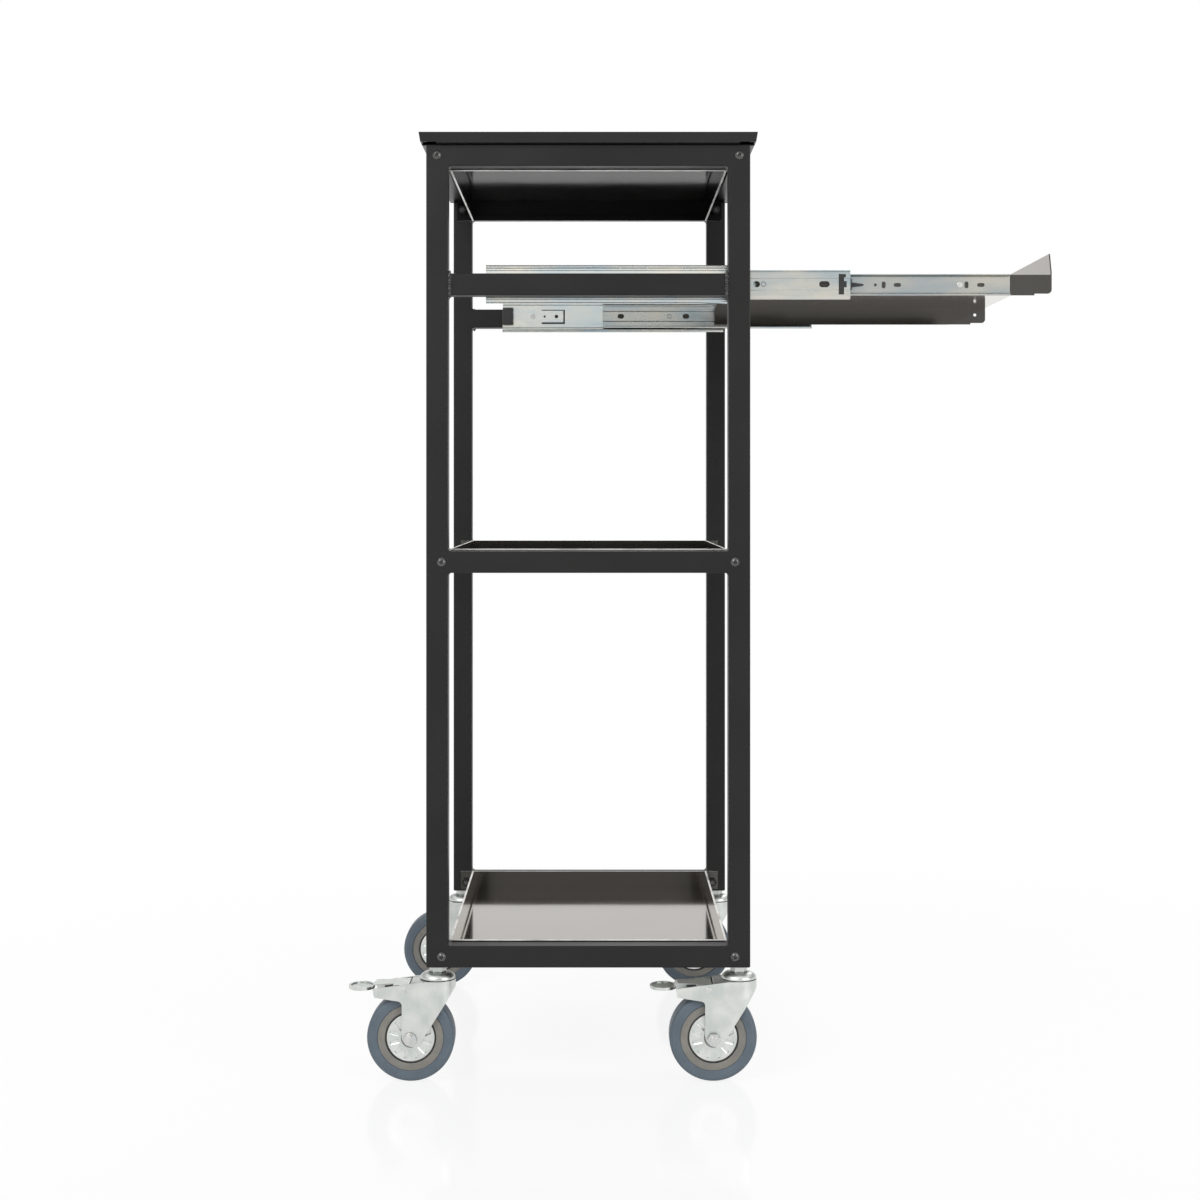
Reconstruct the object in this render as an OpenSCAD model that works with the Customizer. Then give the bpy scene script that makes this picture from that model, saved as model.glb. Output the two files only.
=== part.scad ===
// A laptop cart: two welded side frames of square tube are bolted to three folded steel pans.
// A worktop lies on the frames, a tray pulls out to the front on two ball-bearing slides,
// and four swivel casters carry the frames. The two casters on the left side have a brake.
// X runs from the back to the front, Y from the left side to the right, Z up from the floor.
// Sizes are millimetres.

/* [Side frames] */
// Depth of a side frame, from back to front
frame_depth = 370; // [340:5:450]
// Width over both side frames
frame_width = 500; // [440:5:600]
// Height of a side frame
frame_height = 940; // [900:5:1000]
// Outer side of the square tube
tube = 25; // [22:1:30]
// Wall of the square tube
tube_wall = 1.5; // [1.2:0.1:2.5]
// Height of the middle rail's lower face above the frame's foot
middle_rail_rise = 450.5; // [350:0.5:520]
// Height of the tray rail's lower face above the frame's foot
tray_rail_rise = 767.5; // [700:0.5:800]

/* [Worktop] */
// How far the worktop reaches past the frames all round
top_overhang = 8; // [4:1:20]
// Height of the worktop's folded edge
top_edge = 12.5; // [10:0.5:20]
// Thickness of the worktop's sheet
top_sheet = 1.5; // [1:0.1:2]
// Width of the flange turned in under the worktop
top_return = 20; // [15:1:30]
// Width of each stiffening channel under the worktop
stiffener_w = 40; // [30:1:60]
// How far the folded edge leans in at its foot
skirt_lean = 1.6; // [0:0.1:3]
// Outer radius of the bend at the folded edge's foot
skirt_r = 2.5; // [2:0.1:3]
// Side of the notch cut out of the flange at each corner
corner_notch = 20; // [12:1:24]

/* [Shelf pans] */
// Thickness of the pans' sheet
pan_sheet = 1.2; // [0.8:0.1:1.8]
// Depth of each pan, from its floor to its rim
pan_depth = 24; // [18:1:26]
// How far a pan's rim stands past the edge of its rail
rim_proud = 2; // [1:0.5:4]
// Height of the hem folded along each rim
hem_h = 7; // [4:0.5:10]
// Gap between a pan's end wall and the posts
pan_gap = 0.5; // [0.2:0.1:2]
// Distance from a post's inner edge to the shelf screws
shelf_screw_in = 7.5; // [6:0.5:9]

/* [Screws] */
// Diameter of the frame screws' thread
screw_d = 6; // [5:0.5:6]
// Diameter of the frame screws' button head
screw_head_d = 10.5; // [9:0.5:12]
// Height of the frame screws' button head
screw_head_h = 3.2; // [2.5:0.1:4]
// Width across the flats of the screws' hex socket
socket_af = 4; // [3:0.5:5]
// Width across the flats of the weld nuts
nut_af = 10; // [9:0.5:12]
// Thickness of the weld nuts
nut_h = 5; // [4:0.5:6]
// Clearance round a screw in its hole
screw_clear = 0.2; // [0.1:0.05:0.4]

/* [Slides] */
// Length of the fixed and of the inner slide rail
slide_len = 300; // [280:5:320]
// How much shorter the middle slide rail is
middle_short = 16.5; // [10:0.5:30]
// Height of the fixed slide rail
slide_h = 44; // [40:1:48]
// Thickness of a whole slide
slide_t = 12.7; // [12.7:0.1:14]
// Thickness of the slide rails' sheet
rail_sheet = 1.2; // [1:0.1:1.3]
// Outer radius of the bends between a slide rail's web and its flanges
rail_bend = 3; // [2.4:0.1:3.4]
// Outer radius of the bends at the flanges' lips
lip_bend = 1.8; // [1.6:0.1:2]
// Height of the fixed rail's lips
outer_lip = 3.4; // [2.6:0.1:3.6]
// Height of the middle rail's lips
middle_lip = 2.4; // [2.2:0.1:2.8]
// Length of the cages between the fixed and the middle rails
outer_cage_len = 150; // [100:1:155]
// Distance from the fixed rail's rear end to its rear rivet
rear_rivet_in = 41.6; // [30:0.2:46]
// Distance from the fixed rail's front end to its front rivet
front_rivet_in = 60; // [40:1:80]
// Distance from the inner rail's rear end to its rear rivet
tray_rivet_rear = 56; // [40:1:62]
// Distance from the inner rail's front end to its front rivet
tray_rivet_front = 58.2; // [40:0.2:62]
// Distance from the fixed rail's rear end to the slot round its spring tongue
tongue_in = 52.9; // [50:0.1:58]
// Length of that slot
tongue_len = 31.8; // [26:0.2:34]
// Distance across that slot
tongue_w = 20.4; // [14:0.2:22]
// Width of that slot's cut
tongue_cut = 2.2; // [1:0.1:2.6]
// Diameter of the slides' balls
ball_d = 3.2; // [2.8:0.1:3.4]
// Running gap between a ball and its rails
ball_gap = 0.3; // [0.2:0.05:0.4]
// Thickness of the ball cages' sheet
cage_sheet = 0.6; // [0.4:0.1:0.6]
// Distance between balls in a cage
ball_pitch = 18; // [12:1:24]
// How far the tray pulls out
tray_travel = 304; // [250:1:310]
// Share of the tray's travel that the middle rails make
middle_share = 0.396; // [0.38:0.002:0.42]
// Height of the slides' centre line above the tray rail's centre
slide_rise = 2.7; // [0:0.1:4]
// Distance that the slides stop behind the frame's front face
slide_setback = 3; // [0:0.5:5]
// Length of the bumpers at the rear of the fixed rails
bumper_len = 14; // [5:0.5:14.5]

/* [Tray] */
// Length of the tray's floor, from back to front
tray_len = 367; // [345:1:380]
// How far the tray's front stands past the inner rails' ends
tray_nose = 48.8; // [40:0.2:60]
// Thickness of the tray's sheet
tray_sheet = 1.5; // [1:0.1:1.6]
// Height of the side flanges at the tray's nose
flange_h = 22; // [18:0.5:23]
// Height of the lip along the tray's front
lip_h = 24; // [15:1:40]
// How far the lip's top edge leans back
lip_lean = 2; // [0:0.5:6]
// Height of the lip's upright foot
lip_foot = 3; // [2:0.5:6]
// Radius of the flanges' lower front corners
flange_r = 5; // [2:0.5:8]

/* [Casters] */
// Diameter of the wheels
wheel_d = 100; // [94:1:102]
// Width of the tyres
tyre_w = 32; // [26:1:33]
// Radius of the wheel core that the tyre is moulded on
core_r = 37.5; // [35:0.5:40]
// Radius of the pressed steel discs on the wheel's sides
disc_r = 27.5; // [24:0.5:28]
// Height from the floor to the foot of the side frame
caster_h = 129; // [129:1:140]
// Distance from the swivel axis to the axle
trail = 30; // [28:1:32]
// Clear width inside the fork
fork_gap = 38; // [38:0.5:42]
// Thickness of the fork's plate
fork_sheet = 2.5; // [2:0.1:3]
// Radius of the fork's crown and of the cup above it
crown_r = 20.5; // [20:0.5:21.5]
// Distance behind the swivel axis where the fork's sides bend inwards
fork_bend = 17; // [14:1:20]
// Width across the flats of the stem's hexagon
stem_af = 17; // [15:1:20]
// Radius of the swivel pin
king_r = 5.5; // [4:0.5:6]
// Radius of the threaded stem
stem_r = 6; // [5:0.5:7]
// Length of the threaded stem in the frame's foot
stem_len = 8.5; // [6:0.5:8.5]
// Diameter of the axle bolt
axle_d = 8; // [6:1:9]
// Radius of the sleeve that the wheel turns on
sleeve_r = 6; // [5.5:0.5:7]
// Number of balls in the swivel bearing
swivel_balls_n = 14; // [10:1:14]
// Radius of a ball in the swivel bearing
swivel_ball_r = 2; // [1.5:0.25:2.25]
// Radial clearance of the turning fits
turn_clear = 0.08; // [0.04:0.01:0.1]
// Length of the brake pedal, from its pin to its tip
pedal_len = 66.5; // [62:0.5:72]
// Width of the pedal's foot plate
pedal_w = 36; // [26:1:36]
// Width of the pedal between its pin and its foot plate
neck_w = 22; // [20:1:30]
// Angle that the brake pedal turns down to lock the wheel
pedal_swing = 12; // [6:1:14]

/* [Hidden] */

$fn = 48;
cut = 1; // how far a cutting shape reaches past the face that it cuts

LEFT = -1;
RIGHT = 1;
REAR = -1;
FRONT = 1;

paint = "#2b2b2b";
gloss_paint = "#1c1c1c";
zinc = "#c9ced0";
steel = "#b8bcc0";
plastic = "#181818";
tyre_grey = "#66717b";
core_grey = "#8d8a82";

half_depth = frame_depth / 2;
half_width = frame_width / 2;
post_x = half_depth - tube / 2;
post_y = half_width - tube / 2;
bay_x = half_depth - tube; // half of the clear depth between the posts
bay_y = half_width - tube; // half of the clear width between the side frames
frame_top = caster_h + frame_height;
bottom_rail_z = caster_h;
middle_rail_z = caster_h + middle_rail_rise;
tray_rail_z = caster_h + tray_rail_rise;
top_rail_z = frame_top - tube;

slide_z = tray_rail_z + tube / 2 + slide_rise;
slide_front = half_depth - slide_setback;
slide_rear = slide_front - slide_len;
gap = ball_d + 2 * ball_gap;
middle_h = slide_h - 2 * (rail_sheet + gap);
inner_h = middle_h - 2 * (rail_sheet + gap);
outer_reach = slide_t - 2.2;
middle_u = 2.5 * rail_sheet;
middle_reach = slide_t - 1.4;
inner_u = middle_u + 2.5 * rail_sheet;
cage_u = middle_u - 0.4 - cage_sheet;
inner_cage_u = inner_u - 0.6 - cage_sheet;
middle_len = slide_len - middle_short;
middle_front = slide_front + middle_share * tray_travel;
middle_rear = middle_front - middle_len;
inner_rear = slide_front + 2 + tray_travel - slide_len;
inner_front = inner_rear + slide_len;
raceway_v = slide_h / 2 - rail_sheet - gap / 2;
inner_raceway_v = middle_h / 2 - rail_sheet - gap / 2;

tray_front = inner_front + tray_nose;
tray_rear = tray_front - tray_len;
tray_y = bay_y - slide_t;
tray_z = slide_z + inner_h / 2; // top of the tray's floor

crown_top = caster_h - 14.5;
crown_z = crown_top - fork_sheet;
cup_z = crown_top + 0.6;
hex_z = caster_h - 6.5;
fork_y = fork_gap / 2 + fork_sheet;
axle_z = wheel_d / 2;
pin_x = -trail - 5.5;
pin_z = crown_top - 9.7;
pin_r = fork_sheet;

// The part stands with the middle of its whole length over the origin.
x_min = -post_x + pin_x - pedal_len;
x_max = tray_front;
x_shift = -(x_min + x_max) / 2;

module placed() {
    translate([x_shift, 0, 0]) children();
}

// Draws its children, modelled for the left side, on either side.
module on_side(side) {
    if (side == LEFT) children();
    else mirror([0, 1, 0]) children();
}

// Extrudes a Y-Z outline along X from x0.
module along_x(x0, len) {
    translate([x0, 0, 0]) rotate([90, 0, 90]) linear_extrude(len) children();
}

// Extrudes an X-Z outline along Y from y0.
module along_y(y0, len) {
    translate([0, y0 + len, 0]) rotate([90, 0, 0]) linear_extrude(len) children();
}

// A cylinder along Y that starts at [x, y, z].
module y_rod(x, y, z, r, len) {
    translate([x, y, z]) rotate([-90, 0, 0]) cylinder(r = r, h = len);
}

function arc(cx, cy, r, from, to, steps = 8) =
    [for (i = [0 : steps]) let (a = from + (to - from) * i / steps)
        [cx + r * cos(a), cy + r * sin(a)]];

function stadium(len, w) = concat(
    arc(len / 2 - w / 2, 0, w / 2, -90, 90), arc(w / 2 - len / 2, 0, w / 2, 90, 270));

// Frame screws on one side: [x, z of the axis].
screw_spots = [
    for (end = [REAR, FRONT]) each [
        [end * (bay_x + shelf_screw_in), bottom_rail_z + tube / 2],
        [end * (bay_x + shelf_screw_in), middle_rail_z + tube / 2],
        [end * post_x, top_rail_z + tube / 2],
    ]
];

module screw_holes(y, len) {
    for (s = screw_spots) y_rod(s[0], y, s[1], screw_d / 2 + screw_clear, len);
}

module tube_outline() {
    difference() {
        square(tube, center = true);
        square(tube - 2 * tube_wall, center = true);
    }
}

module posts(side) {
    placed() on_side(side) color(paint) difference() {
        for (end = [REAR, FRONT])
            translate([end * post_x, -post_y, caster_h]) linear_extrude(frame_height) tube_outline();
        screw_holes(-half_width - cut, tube + 2 * cut);
    }
}

module rails(side) {
    placed() on_side(side) color(paint) difference() {
        for (z = [bottom_rail_z, middle_rail_z, tray_rail_z, top_rail_z])
            along_x(-bay_x, 2 * bay_x) translate([-post_y, z + tube / 2]) tube_outline();
        for (x = slide_rivets_x)
            y_rod(x, -bay_y - tube_wall - cut, slide_z, rivet_r, tube_wall + 2 * cut);
    }
}

module frame_screws() {
    color(steel) placed() for (side = [LEFT, RIGHT]) on_side(side) for (s = screw_spots) {
        y_rod(s[0], -half_width, s[1], screw_d / 2, tube + pan_sheet + nut_h + 1);
        difference() {
            intersection() {
                y_rod(s[0], -half_width - screw_head_h, s[1], screw_head_d / 2, screw_head_h);
                translate([s[0], -half_width - screw_head_h + screw_head_d * 0.62, s[1]])
                    sphere(r = screw_head_d * 0.62);
            }
            translate([s[0], -half_width - screw_head_h - cut, s[1]]) rotate([-90, 0, 0])
                cylinder(d = socket_af / cos(30), h = screw_head_h / 2 + cut + 0.6, $fn = 6);
        }
    }
}

module weld_nuts() {
    color(gloss_paint) placed() for (side = [LEFT, RIGHT]) on_side(side) for (s = screw_spots)
        translate([s[0], -bay_y + pan_sheet, s[1]]) rotate([-90, 0, 0]) difference() {
            cylinder(d = nut_af / cos(30), h = nut_h, $fn = 6);
            translate([0, 0, -cut]) cylinder(d = screw_d + 0.1, h = nut_h + 2 * cut);
        }
}

// A folded pan whose rim is at rim_z. Its floor lies under the rim, or over it where up is -1.
module pan(rim_z, depth, ear_x, up = 1) {
    end_x = bay_x - pan_gap;
    floor_z = rim_z - up * depth;
    low = min(rim_z, floor_z);
    hem_low = up > 0 ? rim_z - hem_h : rim_z;
    difference() {
        union() {
            translate([-end_x, -bay_y, up > 0 ? floor_z : floor_z - pan_sheet])
                cube([2 * end_x, 2 * bay_y, pan_sheet]);
            translate([0, 0, low]) linear_extrude(depth) difference() {
                square([2 * end_x, 2 * bay_y], center = true);
                square([2 * (end_x - pan_sheet), 2 * (bay_y - pan_sheet)], center = true);
            }
            translate([0, 0, hem_low]) linear_extrude(hem_h) difference() {
                square([2 * end_x, 2 * bay_y], center = true);
                square([2 * (end_x - 2 * pan_sheet), 2 * (bay_y - 2 * pan_sheet)], center = true);
            }
            for (side = [LEFT, RIGHT])
                translate([-ear_x, side * (bay_y - pan_sheet / 2) - pan_sheet / 2, low])
                    cube([2 * ear_x, pan_sheet, depth]);
        }
        for (side = [LEFT, RIGHT]) on_side(side) screw_holes(-bay_y - cut, pan_sheet + 2 * cut);
    }
}

module bottom_shelf() {
    color(gloss_paint) placed()
        pan(bottom_rail_z + tube + rim_proud, pan_depth, bay_x + 2 * shelf_screw_in);
}

module middle_shelf() {
    color(gloss_paint) placed()
        pan(middle_rail_z + tube + rim_proud, pan_depth, bay_x + 2 * shelf_screw_in);
}

module top_pan() {
    color(gloss_paint) placed()
        pan(top_rail_z - rim_proud, tube + rim_proud, post_x + shelf_screw_in, -1);
}

// The worktop's outline across one direction, t inside its outer faces.
function worktop_outline(w, t) = let (
    half = concat(arc(w - skirt_lean - skirt_r, skirt_r, skirt_r - t, -90, 0, 4),
        [[w - t, top_edge - t]]),
    n = len(half))
    concat(half, [for (i = [n - 1 : -1 : 0]) [-half[i][0], half[i][1]]]);

module worktop() {
    x = half_depth + top_overhang;
    y = half_width + top_overhang;
    color(gloss_paint) placed() translate([0, 0, frame_top]) difference() {
        intersection() {
            along_x(-x, 2 * x) polygon(worktop_outline(y, 0));
            along_y(-y, 2 * y) polygon(worktop_outline(x, 0));
        }
        intersection() {
            along_x(-x, 2 * x) polygon(worktop_outline(y, top_sheet));
            along_y(-y, 2 * y) polygon(worktop_outline(x, top_sheet));
        }
        translate([0, 0, -cut]) linear_extrude(top_sheet + 2 * cut)
            square([2 * (x - top_return), 2 * (y - top_return)], center = true);
        for (sx = [-1, 1]) for (sy = [-1, 1])
            translate([sx * (x - corner_notch / 2), sy * (y - corner_notch / 2), 0])
                cube([corner_notch + 0.2, corner_notch + 0.2, 2 * (top_sheet + 0.1)], center = true);
    }
}

// Hat-shaped stiffeners between the top pan and the worktop's sheet.
module worktop_channels() {
    h = top_edge - top_sheet;
    color(paint) placed() for (end = [REAR, FRONT])
        translate([end * half_depth / 2, -bay_y + 5, frame_top]) rotate([-90, 0, 0])
            linear_extrude(2 * bay_y - 10) mirror([0, 1]) {
                translate([-stiffener_w / 2, h - top_sheet]) square([stiffener_w, top_sheet]);
                for (s = [-1, 1]) {
                    translate([s * (stiffener_w / 2 - top_sheet / 2) - top_sheet / 2, 0])
                        square([top_sheet, h]);
                    translate([s * (stiffener_w / 2 + 4) - 5.5, 0]) square([11, top_sheet]);
                }
            }
}

// Slides, modelled at the left side: u counts inwards from the tray rail, v up from slide_z.

rivet_r = 2;
slide_rivets_x = [slide_rear + rear_rivet_in, slide_front - front_rivet_in];
tray_rivets_x = [inner_rear + tray_rivet_rear, inner_front - tray_rivet_front];

// Outline of a C-shaped rail. Its web stands at 0 and its flanges reach out from there.
// The bends have the outer radius r, and lips may turn in at the flanges' ends.
function channel(h, reach, r, lip = 0) = let (
    v = h / 2,
    out = concat(
        lip > 0 ? concat([[reach, v - lip]], arc(reach - lip_bend, v - lip_bend, lip_bend, 0, 90, 3))
            : [[reach, v]],
        arc(r, v - r, r, 90, 180, 4)),
    in = concat(
        arc(r, v - r, r - rail_sheet, 180, 90, 4),
        lip > 0 ? concat(
            arc(reach - lip_bend, v - lip_bend, lip_bend - rail_sheet, 90, 0, 3),
            [[reach - rail_sheet, v - lip]])
            : [[reach, v - rail_sheet]]),
    n = len(out),
    m = len(in))
    concat(out, [for (i = [n - 1 : -1 : 0]) [out[i][0], -out[i][1]]],
        [for (i = [m - 1 : -1 : 0]) [in[i][0], -in[i][1]]], in);

// Cuts slots through a web: each is [x, length, height].
module web_slots(slots, u) {
    for (s = slots)
        translate([s[0], -bay_y + u - cut, slide_z]) rotate([-90, 0, 0])
            linear_extrude(rail_sheet + 2 * cut)
                if (s[1] >= s[2]) polygon(stadium(s[1], s[2]));
                else rotate(90) polygon(stadium(s[2], s[1]));
}

module outer_rail(side) {
    placed() on_side(side) color(zinc) difference() {
        along_x(slide_rear, slide_len) translate([-bay_y, slide_z])
            polygon(channel(slide_h, outer_reach, rail_bend + 0.5, outer_lip));
        for (x = slide_rivets_x)
            y_rod(x, -bay_y - cut, slide_z, rivet_r, rail_sheet + 2 * cut);
        for (hole = [[4.3, 1.5], [20.3, 2.4]])
            y_rod(slide_rear + tongue_in + hole[0], -bay_y - cut, slide_z, hole[1],
                rail_sheet + 2 * cut);
        // the slot round the spring tongue
        translate([slide_rear + tongue_in, -bay_y - cut, slide_z]) {
            for (v = [-tongue_w / 2, tongue_w / 2 - tongue_cut]) translate([0, 0, v])
                cube([tongue_len, rail_sheet + 2 * cut, tongue_cut]);
            translate([tongue_len - tongue_cut, 0, -tongue_w / 2])
                cube([tongue_cut, rail_sheet + 2 * cut, tongue_w]);
        }
    }
}

module slide_rivets() {
    color(steel) placed() for (side = [LEFT, RIGHT]) on_side(side) for (x = slide_rivets_x) {
        y_rod(x, -bay_y - tube_wall - 2, slide_z, rivet_r, rail_sheet + tube_wall + 2);
        y_rod(x, -bay_y + rail_sheet, slide_z, rivet_r + 1.5, 0.5);
        y_rod(x, -bay_y - tube_wall - 1.5, slide_z, rivet_r + 1, 1.5);
    }
}

module slide_bumpers() {
    h = inner_h - 1;
    color(plastic) placed() for (side = [LEFT, RIGHT]) on_side(side)
        translate([slide_rear + 0.3, -bay_y + rail_sheet, slide_z]) difference() {
            translate([0, 0, -h / 2]) cube([bumper_len, inner_u - 0.4 - rail_sheet, h]);
            for (v = [-5.5, 5.5]) translate([bumper_len - 1.2, -cut, v - 1])
                cube([1.2 + cut, inner_u, 2]);
        }
}

module middle_rail(side) {
    slots = [[24, 9, 6.4], [112.5, 9, 6.4], [175.2, 8, 7], [253.5, 12.3, 7]];
    placed() on_side(side) color(zinc) {
        difference() {
            along_x(middle_rear, middle_len) translate([middle_u - bay_y, slide_z])
                polygon(channel(middle_h, middle_reach - middle_u, rail_bend, middle_lip));
            web_slots([for (s = slots) [middle_rear + s[0], s[1], s[2]]], middle_u);
            stop_window(-bay_y + middle_u - cut, rail_sheet + 2 * cut, 0.3);
            ring_groove(middle_rear + 183.3, -bay_y + middle_u - cut, cut + 0.8);
            ring_groove(middle_rear + 90, -bay_y + middle_u + rail_sheet - 0.8, cut + 0.8);
        }
        y_rod(middle_rear + 233.8, -bay_y + middle_u - 0.5, slide_z, 3.4, 0.5);
    }
}

// The round groove that sets a boss in a rail's web.
module ring_groove(x, y, len) {
    difference() {
        y_rod(x, y, slide_z, 3.2, len);
        y_rod(x, y - cut, slide_z, 2.1, len + 2 * cut);
    }
}

stop_half_h = middle_h / 2 - 5.5;

// The window near the middle rail's front end, wider by g all round than the stop that fills it.
module stop_window(y, len, g) {
    blocks = [[0, 5.6, -stop_half_h, stop_half_h], [5, 8.6, -3.2, 3.2],
        [5, 7.6, stop_half_h - 3.2, stop_half_h]];
    for (b = blocks) translate([middle_front - 13.2 + b[0] - g, y, slide_z + b[2] - g])
        cube([b[1] - b[0] + 2 * g, len, b[3] - b[2] + 2 * g]);
}

// The stop fills the window, lies behind it on the web and shows a nose at the rail's end.
module front_stop(side) {
    back_y = -bay_y + middle_u + rail_sheet;
    placed() on_side(side) color(plastic) {
        stop_window(-bay_y + middle_u, rail_sheet, 0);
        translate([middle_front - 17.5, back_y, slide_z - stop_half_h - 1])
            cube([15, 1.2, 2 * stop_half_h + 2]);
        translate([middle_front - 3, back_y, slide_z - 6.5]) cube([4.8, 1.2, 13]);
    }
}

module inner_rail(side) {
    slots = [[144.4, 3.4, 3.4], [153.9, 4.6, 8], [169.8, 8.6, 4.4], [249.8, 4.6, 8],
        [266.5, 8.6, 4.4]];
    placed() on_side(side) color(zinc) {
        difference() {
            along_x(inner_rear, slide_len) translate([slide_t - bay_y, slide_z]) mirror([1, 0])
                polygon(channel(inner_h, slide_t - inner_u, rail_bend));
            web_slots([for (s = slots) [inner_rear + s[0], s[1], s[2]]], slide_t - rail_sheet);
            for (x = tray_rivets_x)
                y_rod(x, -tray_y - rail_sheet - cut, slide_z, rivet_r, rail_sheet + 2 * cut);
        }
        y_rod(lever_x, -tray_y - rail_sheet - 3, slide_z, lever_pin_r, 3);
    }
}

lever_pin_r = 1.5;
lever_x = inner_rear + 69;

// The release lever hangs on a pin of the inner rail and narrows to its front.
module release_lever(side) {
    placed() on_side(side) color(plastic)
        translate([lever_x, -tray_y - rail_sheet - 0.3, slide_z]) rotate([90, 0, 0]) difference() {
            linear_extrude(2.5) polygon(concat(arc(0, 0, 3.5, 90, 270),
                [[38, -3.5], [60, -1], [62, 0], [60, 1], [38, 3.5]]));
            translate([0, 0, -cut]) cylinder(r = lever_pin_r + turn_clear, h = 2.5 + 2 * cut);
        }
}

// A ball cage: a thin web with a strip over and under it, and balls set in the strips.
module ball_cage(side, x0, len, u, v, reach, ball_u) {
    placed() on_side(side) color(zinc) {
        along_x(x0, len) translate([-bay_y, slide_z]) {
            translate([u, -v - cage_sheet / 2]) square([cage_sheet, 2 * v + cage_sheet]);
            for (s = [-1, 1]) translate([u, s * v - cage_sheet / 2]) square([reach - u, cage_sheet]);
        }
        for (s = [-1, 1]) for (x = [x0 + 6 : ball_pitch : x0 + len - 4])
            translate([x, -bay_y + ball_u, slide_z + s * v]) sphere(d = ball_d, $fn = 24);
    }
}

module outer_cage(side) {
    x0 = middle_rear + 11;
    ball_cage(side, x0, min(outer_cage_len, slide_front - 2 - x0), cage_u, raceway_v,
        outer_reach - 1.5, outer_reach - 4);
}

module inner_cage(side) {
    x0 = inner_rear + 6;
    ball_cage(side, x0, middle_front - 20 - x0, inner_cage_u, inner_raceway_v, middle_reach - 1.5,
        middle_reach - 3.4);
}

module tray() {
    nose = 20; // length of the shallower end of the flange
    side_low = slide_z - inner_h / 2;
    nose_low = tray_z - flange_h;
    color(gloss_paint) placed() difference() {
        union() {
            translate([tray_rear, -tray_y, tray_z - tray_sheet])
                cube([tray_len, 2 * tray_y, tray_sheet]);
            for (side = [LEFT, RIGHT]) on_side(side) along_y(-tray_y, tray_sheet) polygon(concat(
                [[tray_rear, tray_z], [tray_rear, side_low], [tray_front - nose, side_low],
                    [tray_front - nose, nose_low]],
                arc(tray_front - flange_r, nose_low + flange_r, flange_r, -90, 0),
                [[tray_front, tray_z]]));
            along_y(-tray_y, 2 * tray_y) polygon([
                [tray_front - tray_sheet, tray_z - tray_sheet], [tray_front, tray_z - tray_sheet],
                [tray_front, tray_z + lip_foot], [tray_front - lip_lean, tray_z + lip_h],
                [tray_front - lip_lean - tray_sheet, tray_z + lip_h],
                [tray_front - tray_sheet, tray_z + lip_foot]]);
        }
        y_rod(tray_front - 14, tray_y - 2 * tray_sheet, tray_z - flange_h / 2, 2, 3 * tray_sheet);
        for (side = [LEFT, RIGHT]) on_side(side) for (x = tray_rivets_x)
            y_rod(x, -tray_y - cut, slide_z, rivet_r, tray_sheet / 2 + cut);
    }
}

// The tray's rivets end inside the flanges, so nothing shows on the flanges' inner faces.
module tray_rivets() {
    color(steel) placed() for (side = [LEFT, RIGHT]) on_side(side) for (x = tray_rivets_x) {
        y_rod(x, -tray_y - rail_sheet, slide_z, rivet_r, rail_sheet + tray_sheet / 2);
        y_rod(x, -tray_y - rail_sheet - 0.8, slide_z, rivet_r + 1.2, 0.8);
    }
}

// Casters, modelled at the left side with the swivel axis as their origin on the floor.

module caster(side, end) {
    placed() on_side(side) translate([end * post_x, -post_y, 0]) children();
}

module every_caster() {
    for (side = [LEFT, RIGHT]) for (end = [REAR, FRONT]) caster(side, end) children();
}

module post_inserts() {
    w = tube - 2 * tube_wall;
    color(steel) every_caster() translate([0, 0, caster_h]) difference() {
        translate([-w / 2, -w / 2, 0]) cube([w, w, stem_len - 0.5]);
        translate([0, 0, -cut]) cylinder(r = stem_r, h = stem_len + 2 * cut);
    }
}

// Each stem has a hexagon over the cup and carries the swivel pin with its riveted head.
module caster_stems() {
    color(zinc) every_caster() {
        translate([0, 0, caster_h]) cylinder(r = stem_r, h = stem_len);
        translate([0, 0, hex_z]) cylinder(d = stem_af / cos(30), h = caster_h - hex_z, $fn = 6);
        translate([0, 0, crown_z - 4]) cylinder(r = king_r, h = hex_z - crown_z + 4);
        translate([0, 0, crown_z - 4.3]) cylinder(r = king_r + 4, h = 4);
    }
}

cup_roof = cup_z + 4; // the inner face of the cup's top

module swivel_cups() {
    r = crown_r - 0.5;
    color(zinc) every_caster() rotate_extrude($fn = 96) polygon([
        [king_r, hex_z], [r - 8, hex_z], [r - 4, hex_z - 0.9], [r - 1.2, hex_z - 3],
        [r, hex_z - 5], [r, cup_z], [r - 2, cup_z], [r - 2, cup_roof - 2],
        [r - 3.5, cup_roof], [king_r, cup_roof]]);
}

module swivel_balls() {
    ring = crown_r - 7.5;
    color(steel) every_caster() for (i = [0 : swivel_balls_n - 1])
        rotate(360 / swivel_balls_n * i)
            translate([ring, 0, (crown_top + cup_roof) / 2]) sphere(r = swivel_ball_r, $fn = 24);
}

// The fork seen from the side. The braked one has an arm to the rear that carries the pedal.
function fork_outline(braked) = concat(
    [[0, crown_top], [crown_r, crown_top], [crown_r, crown_top - 8]],
    arc(-trail + 2.5, axle_z + 3, 12, -31, -180, 12),
    braked
        ? concat([[-trail - 9.5, crown_top - 28]],
            arc(-trail - 14.5, crown_top - 26.7, 5, 0, 80, 4),
            [[-trail - 28.6, crown_top - 19.5], [-trail - 41, crown_top - 17.4],
                [-trail - 43, crown_top - 7.8], [-13.6, crown_top]])
        : [[-trail - 9.5, crown_top - 46], [-crown_r, crown_top - 6.5], [-crown_r, crown_top]]);

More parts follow.
